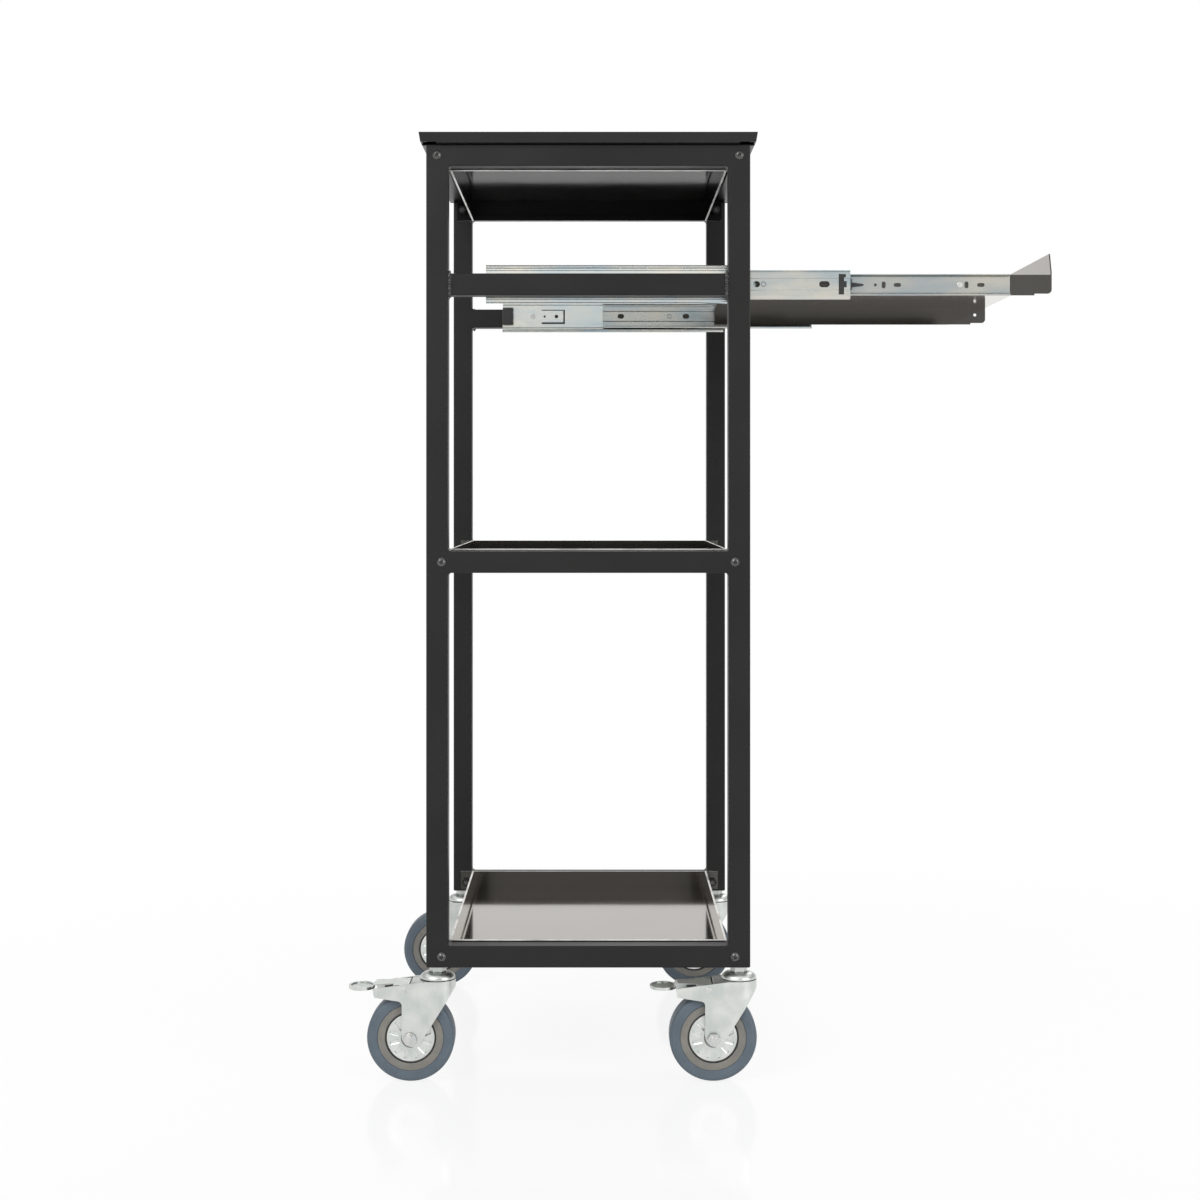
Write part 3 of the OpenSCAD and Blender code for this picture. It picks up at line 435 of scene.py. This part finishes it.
# The bright colour of the painted highlight along the pans' folds.
RIM_HIGHLIGHT_COLOUR = (0.88, 0.87, 0.85, 1)


def add_blend(tree, share, colour_a, colour_b):
    """A Mix node that runs from one colour to another with share. Returns its output."""
    node = tree.nodes.new("ShaderNodeMix")
    node.data_type = "RGBA"
    tree.links.new(share, node.inputs[0])
    feed(tree, node.inputs[6], colour_a)
    feed(tree, node.inputs[7], colour_b)
    return node.outputs[2]


def paint_rim_highlight(material, name, rim_z):
    """A copy of a pan's enamel with a painted highlight along its fold at the height rim_z: a
    bright colour on the faces that point up, down or out of the pan."""
    highlit = material.copy()
    highlit.name = name
    tree = highlit.node_tree
    shader = shader_of(highlit)
    coords = tree.nodes.new("ShaderNodeTexCoord")
    axes = tree.nodes.new("ShaderNodeSeparateXYZ")
    tree.links.new(coords.outputs["Object"], axes.inputs[0])
    away = add_math(tree, "ABSOLUTE", add_math(tree, "SUBTRACT", axes.outputs["Z"], rim_z))
    near = add_range(tree, away, RIM_HEIGHT * 0.6, RIM_HEIGHT, 1.0, 0.0)
    # The painted highlight is patchy, between 60 per cent and all of it.
    highlight_patches = add_range(tree, add_noise(tree, 22, 2.0), 0.3, 0.5, 0.6, 1.0)
    # A face that looks towards the middle of the pan stays glossy.
    from_middle = tree.nodes.new("ShaderNodeVectorMath")
    from_middle.operation = "SUBTRACT"
    from_middle.inputs[1].default_value = (FRAME_X, 0, rim_z)
    tree.links.new(coords.outputs["Object"], from_middle.inputs[0])
    geometry = tree.nodes.new("ShaderNodeNewGeometry")
    outward = tree.nodes.new("ShaderNodeVectorMath")
    outward.operation = "DOT_PRODUCT"
    tree.links.new(from_middle.outputs[0], outward.inputs[0])
    tree.links.new(geometry.outputs["Normal"], outward.inputs[1])
    outer = add_range(tree, outward.outputs["Value"], -0.02, 0.0)
    share = add_math(tree, "MULTIPLY", add_math(tree, "MULTIPLY", near, highlight_patches), outer)
    base = shader.inputs["Base Color"]
    own_colour = base.links[0].from_socket
    tree.links.new(add_blend(tree, share, own_colour, RIM_HIGHLIGHT_COLOUR), base)
    # Along the painted highlight the clear coat is left off and the surface is rougher.
    coat = shader.inputs["Coat Weight"]
    left_over = add_math(tree, "MULTIPLY_ADD", share, -coat.default_value, coat.default_value)
    tree.links.new(left_over, coat)
    gloss = shader.inputs["Roughness"]
    highlight_roughness = add_math(tree, "MULTIPLY_ADD", share, 0.6, gloss.links[0].from_socket)
    tree.links.new(highlight_roughness, gloss)
    return highlit


# The middle and bottom pans get a painted highlight along their top folds.
for shelf in ("middle_shelf", "bottom_shelf"):
    low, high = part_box(shelf)
    dress((shelf,), paint_rim_highlight(enamel, f"{shelf}_enamel", high[2]), 0.0005, 3)

# Worktop: the same folded sheet with a duller, satin black coat. It lies on two stiffening
# channels on top of the frames.
satin_coat = paint("satin_black_enamel", (0.012, 0.012, 0.0118), 0.34)
shader_of(satin_coat).inputs["Specular IOR Level"].default_value = 0.3
satin_noise = mottle(satin_coat, (0.010, 0.010, 0.010), (0.014, 0.014, 0.0138), 6)
uneven_gloss(satin_coat, satin_noise, 0.30, 0.40)
grain(satin_coat, 700, 0.06, 0.0002)
dress(("worktop",), satin_coat, 0.0006, 3)

# Top pan: folded sheet, open downwards, screwed between the tops of the frames under the
# worktop. Its coat is thin and smooth.
thin_coat = paint("thin_black_enamel", (0.011, 0.011, 0.011), 0.13)
shader_of(thin_coat).inputs["Specular IOR Level"].default_value = 0.012
thin_noise = mottle(thin_coat, (0.009, 0.009, 0.009), (0.013, 0.013, 0.0128), 6)
uneven_gloss(thin_coat, thin_noise, 0.07, 0.12)
grain(thin_coat, 14, 0.03, 0.004)
# The top pan gets a painted highlight along its lower fold.
low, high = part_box("top_pan")
dress(("top_pan",), paint_rim_highlight(thin_coat, "top_pan_enamel", low[2]), 0.0005, 3)

# Frame screws: blackened button heads with a hex socket. They are tightened into weld nuts that
# were painted with the pans.
black_steel = paint("blackened_screw", (0.100, 0.100, 0.100), 0.24, 0.75)
black_noise = mottle(black_steel, (0.080, 0.080, 0.080), (0.125, 0.124, 0.122), 260)
uneven_gloss(black_steel, black_noise, 0.20, 0.34)
grain(black_steel, 1500, 0.15, 0.0001)
# The dark colour of the painted shade in crevices.
CREVICE_SHADE_COLOUR = (0.012, 0.011, 0.010, 1)


def paint_crevice_shade(material, reach, open_share):
    """Paints shade into a material's colour in gaps narrower than reach, where shade falls. The
    share of the material's own colour falls to open_share there."""
    tree = material.node_tree
    base = shader_of(material).inputs["Base Color"]
    own_colour = base.links[0].from_socket
    crevice = tree.nodes.new("ShaderNodeAmbientOcclusion")
    crevice.inputs["Distance"].default_value = reach
    crevice.samples = 8
    share = add_range(tree, crevice.outputs["AO"], 0.25, 0.75, open_share, 1.0)
    tree.links.new(add_blend(tree, share, CREVICE_SHADE_COLOUR, own_colour), base)


# Painted shade in the screws' sockets and crevices.
paint_crevice_shade(black_steel, 0.0035, 0.0)
dress(("frame_screws",), black_steel, 0.0004, 3)
dress(("weld_nuts",), satin_coat, 0.0002)

# Stem inserts and rivets: plain zinc-plated steel. The inserts sit in the posts' feet, and the
# rivets hold the slides to the frames and to the tray.
plated = paint("zinc_plated_small_parts", (0.62, 0.63, 0.62), 0.30, 1.0)
plated_noise = mottle(plated, (0.56, 0.58, 0.59), (0.70, 0.69, 0.66), 160)
uneven_gloss(plated, plated_noise, 0.24, 0.38)
dress(("post_inserts", "slide_rivets", "tray_rivets"), plated, 0.0003)

# Slide rails: rolled steel strip with a blue zinc plating that shades to a warm grey, drawn
# along the rail. Fine grooves are rolled along them, with painted shade in the grooves, and their
# gaps are darkened with painted shade.
slide_zinc = paint("blue_zinc_rail", (0.66, 0.68, 0.68), 0.26, 1.0)
slide_noise = mottle(slide_zinc, (0.52, 0.62, 0.67), (0.78, 0.76, 0.68), 14, (1, 3, 3))
uneven_gloss(slide_zinc, slide_noise, 0.20, 0.30)
grain(slide_zinc, 400, 0.05, 0.0002, (0.05, 1, 1))
low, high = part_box("left_outer_rail")
SLIDE_Z = (low[2] + high[2]) / 2
# A groove's height over the centre line times this is its place on the colour ramp.
RAMP_PER_METRE = 40
# The dark colour painted into the grooves as painted shade.
GROOVE_COLOUR = (0.10, 0.11, 0.11, 1)


def rolled_lines(material, name, lines, shade):
    """A copy of a rail's material with fine grooves rolled along it and painted shade in each
    groove, and its colours times shade, which paints the rail lighter or darker as painted light
    and shade. Each line is a height over and under the rail's centre line, and half a width."""
    rolled = material.copy()
    rolled.name = name
    tree = rolled.node_tree
    for stop in tree.nodes["Color Ramp"].color_ramp.elements:
        stop.color = (*(min(0.95, value * shade) for value in stop.color[:3]), 1)
    coords = tree.nodes.new("ShaderNodeTexCoord")
    axes = tree.nodes.new("ShaderNodeSeparateXYZ")
    tree.links.new(coords.outputs["Object"], axes.inputs[0])
    away = add_math(tree, "ABSOLUTE", add_math(tree, "SUBTRACT", axes.outputs["Z"], SLIDE_Z))
    groove = tree.nodes.new("ShaderNodeValToRGB")
    stops = groove.color_ramp.elements
    stops[0].color = (0, 0, 0, 1)
    stops[1].color = (0, 0, 0, 1)
    for line, width in lines:
        stops.new((line - width) * RAMP_PER_METRE).color = (0, 0, 0, 1)
        stops.new(line * RAMP_PER_METRE).color = (1, 1, 1, 1)
        stops.new((line + width) * RAMP_PER_METRE).color = (0, 0, 0, 1)
    tree.links.new(add_math(tree, "MULTIPLY", away, RAMP_PER_METRE), groove.inputs[0])
    relief = tree.nodes.new("ShaderNodeBump")
    relief.invert = True
    relief.inputs["Strength"].default_value = 0.9
    relief.inputs["Distance"].default_value = 0.0004
    normal = shader_of(rolled).inputs["Normal"]
    tree.links.new(groove.outputs[0], relief.inputs["Height"])
    tree.links.new(normal.links[0].from_socket, relief.inputs["Normal"])
    tree.links.new(relief.outputs[0], normal)
    base = shader_of(rolled).inputs["Base Color"]
    own_colour = base.links[0].from_socket
    groove_shade = add_math(tree, "MULTIPLY", groove.outputs[0], 0.6)
    tree.links.new(add_blend(tree, groove_shade, own_colour, GROOVE_COLOUR), base)
    return rolled


# The fixed rails are painted lighter, and the middle and inner rails darker, as painted light and
# shade.
fixed_zinc = rolled_lines(slide_zinc, "blue_zinc_fixed_rail",
                          ((0.0154, 0.0004), (0.0177, 0.0005), (0.0197, 0.0004)), 1.18)
middle_zinc = rolled_lines(slide_zinc, "blue_zinc_middle_rail", ((0.0068, 0.0006),), 0.84)
inner_zinc = rolled_lines(slide_zinc, "blue_zinc_inner_rail", ((0.0098, 0.0004),), 0.70)
# The slides' gaps get painted shade.
paint_crevice_shade(fixed_zinc, 0.005, 0.0)
paint_crevice_shade(middle_zinc, 0.008, 0.0)
paint_crevice_shade(inner_zinc, 0.008, 0.0)
dress(("left_outer_rail", "right_outer_rail"), fixed_zinc, 0.00035, 2)
dress(("left_middle_rail", "right_middle_rail"), middle_zinc, 0.00035, 2)
dress(("left_inner_rail", "right_inner_rail"), inner_zinc, 0.00035, 2)

# Ball cages: blackened steel strip, dark with grease. Each rolls between two rails of a slide.
greased = paint("greased_cage", (0.03, 0.028, 0.025), 0.36, 0.6)
greased_noise = mottle(greased, (0.022, 0.020, 0.018), (0.042, 0.039, 0.035), 120)
uneven_gloss(greased, greased_noise, 0.28, 0.46)
dress(("left_outer_cage", "right_outer_cage", "left_inner_cage", "right_inner_cage"), greased, 0)

# Bumpers, front stops, release levers and brake shoes: black moulded plastic. The first three
# belong to the slides, and the shoes sit under the brake pedals.
black_plastic = paint("black_moulding", (0.013, 0.013, 0.013), 0.5)
moulding_noise = mottle(black_plastic, (0.011, 0.011, 0.011), (0.018, 0.018, 0.018), 60)
uneven_gloss(black_plastic, moulding_noise, 0.42, 0.58)
grain(black_plastic, 1400, 0.2, 0.0001)
dress(("slide_bumpers", "left_front_stop", "right_front_stop", "left_release_lever",
       "right_release_lever", "left_rear_brake_shoe", "left_front_brake_shoe"),
      black_plastic, 0.0003)

# Casters: pressed steel forks, cups, stems and brake pedals, all bright zinc-plated. Each turns
# on its stem, which is screwed into the foot of a post.
caster_zinc = paint("bright_zinc_pressing", (0.70, 0.73, 0.70), 0.28, 1.0)
caster_noise = mottle(caster_zinc, (0.58, 0.62, 0.60), (0.74, 0.75, 0.72), 55)
uneven_gloss(caster_zinc, caster_noise, 0.30, 0.40)
grain(caster_zinc, 700, 0.06, 0.0002)
# Painted shade in the casters' crevices.
paint_crevice_shade(caster_zinc, 0.008, 0.3)
WHEELS = ("left_rear", "left_front", "right_rear", "right_front")
dress([f"{wheel}_fork" for wheel in WHEELS], caster_zinc, 0.0007, 3)
dress(["caster_stems", "swivel_cups"], caster_zinc, 0.0006, 3)
dress(["left_rear_pedal", "left_front_pedal"], caster_zinc, 0.0005)
dress([f"{wheel}_discs" for wheel in WHEELS], caster_zinc, 0.0003)
dress([f"{wheel}_axle" for wheel in WHEELS] + ["left_rear_pedal_pin", "left_front_pedal_pin"],
      plated, 0.0004)
bearing_steel = paint("polished_ball", (0.72, 0.72, 0.72), 0.12, 1.0)
dress(("swivel_balls",), bearing_steel, 0)

# Fork bridges: on the two braked forks the crown's plate runs on to the pedal. The bridge is
# pressed from the same zinc-plated sheet and closes the top between the fork's cheeks.
STEM_X = (POST_LINES[2] + POST_LINES[3]) / 2
BRIDGE_BACK = 0.0215
BRIDGE_LENGTH = 0.0170
BRIDGE_SHEET = 0.0022
BRIDGE_SINK = 0.00135
BRIDGE_DROP = 0.0021
CHEEK_INSET = 0.0004
for fork, stem_x in (("left_rear", -STEM_X), ("left_front", STEM_X)):
    low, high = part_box(f"{fork}_fork")
    bridge_x = FRAME_X + stem_x - BRIDGE_BACK
    bpy.ops.mesh.primitive_cube_add(
        size=1, location=(bridge_x, (low[1] + high[1]) / 2, high[2] - BRIDGE_SINK))
    bridge = bpy.context.object
    bridge.name = f"{fork}_fork_bridge"
    bridge.scale = (BRIDGE_LENGTH, high[1] - low[1] - 2 * CHEEK_INSET, BRIDGE_SHEET)
    bpy.ops.object.transform_apply(location=True, rotation=True, scale=True)
    bpy.ops.object.mode_set(mode="EDIT")
    bpy.ops.mesh.select_mode(type="VERT")
    bpy.ops.object.mode_set(mode="OBJECT")
    clear_selection(bridge.data)
    # The end at the pedal is bent down.
    for corner in bridge.data.vertices:
        corner.select = corner.co.x < bridge_x
    bpy.ops.object.mode_set(mode="EDIT")
    bpy.ops.transform.translate(value=(0, 0, -BRIDGE_DROP))
    bpy.ops.mesh.select_all(action="SELECT")
    bpy.ops.mesh.bevel(offset=0.0006, segments=3)
    bpy.ops.object.mode_set(mode="OBJECT")
    bpy.ops.object.shade_smooth_by_angle(angle=math.radians(40))
    bridge.data.materials.append(caster_zinc)
    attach(bridge, f"{fork}_fork")
    bpy.ops.object.select_all(action="DESELECT")

# Wheels: a blue-grey non-marking rubber tyre moulded on a beige-grey plastic core. Each turns on
# a sleeve round its axle bolt.
rubber = paint("blue_grey_rubber", (0.086, 0.113, 0.140), 0.52)
rubber_noise = mottle(rubber, (0.077, 0.101, 0.126), (0.096, 0.125, 0.154), 40)
uneven_gloss(rubber, rubber_noise, 0.46, 0.6)
grain(rubber, 800, 0.15, 0.0002)
dress([f"{wheel}_tyre" for wheel in WHEELS], rubber, 0.0006, 3)
core_plastic = paint("beige_grey_plastic", (0.190, 0.180, 0.160), 0.5)
core_noise = mottle(core_plastic, (0.168, 0.160, 0.143), (0.208, 0.197, 0.175), 70)
uneven_gloss(core_plastic, core_noise, 0.42, 0.58)
grain(core_plastic, 1000, 0.1, 0.0001)
dress([f"{wheel}_core" for wheel in WHEELS], core_plastic, 0.0004)

# Groove shade: a thin black ring lies in the groove between each pressed disc and the wheel's
# core, a dark piece that stands in for the shade in the groove, as painted shade. It is modelled
# once for each wheel and side, and turns with the wheel.
WHEEL_TRAIL = 0.030
WHEEL_RADIUS = 0.050
REAR_X = -STEM_X - WHEEL_TRAIL
FRONT_X = STEM_X - WHEEL_TRAIL
WHEEL_Y = HALF_WIDTH - TUBE / 2
WHEEL_PLACES = {"left_rear": (REAR_X, -WHEEL_Y), "left_front": (FRONT_X, -WHEEL_Y),
                "right_rear": (REAR_X, WHEEL_Y), "right_front": (FRONT_X, WHEEL_Y)}
SHADE_RING_OFFSET = 0.0132
SHADE_RING_RADIUS = 0.0284
SHADE_RING_SECTION = 0.00125
SHADE_RING_STRETCH = 1.6
# The ring's black is painted shade for the groove.
groove_shade_paint = paint("black_groove_shade_ring", (0.010, 0.010, 0.010), 0.6)
groove_shade_noise = mottle(groove_shade_paint, (0.008, 0.008, 0.008), (0.013, 0.013, 0.013), 90)
uneven_gloss(groove_shade_paint, groove_shade_noise, 0.5, 0.68)
for wheel, (x, y) in WHEEL_PLACES.items():
    for side, offset in (("outer", -SHADE_RING_OFFSET), ("inner", SHADE_RING_OFFSET)):
        bpy.ops.mesh.primitive_torus_add(
            major_radius=SHADE_RING_RADIUS, minor_radius=SHADE_RING_SECTION, major_segments=72,
            minor_segments=10,
            location=(FRAME_X + x, y + offset, WHEEL_RADIUS),
            rotation=(math.radians(90), 0, 0))
        shade_ring = bpy.context.object
        shade_ring.name = f"{wheel}_{side}_seal"
        bpy.ops.object.mode_set(mode="EDIT")
        bpy.ops.mesh.select_all(action="SELECT")
        bpy.ops.transform.resize(value=(1, SHADE_RING_STRETCH, 1))
        bpy.ops.object.mode_set(mode="OBJECT")
        bpy.ops.object.shade_smooth()
        bpy.ops.object.transform_apply(location=True, rotation=True, scale=True)
        shade_ring.data.materials.append(groove_shade_paint)
        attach(shade_ring, f"{wheel}_wheel")
        bpy.ops.object.select_all(action="DESELECT")
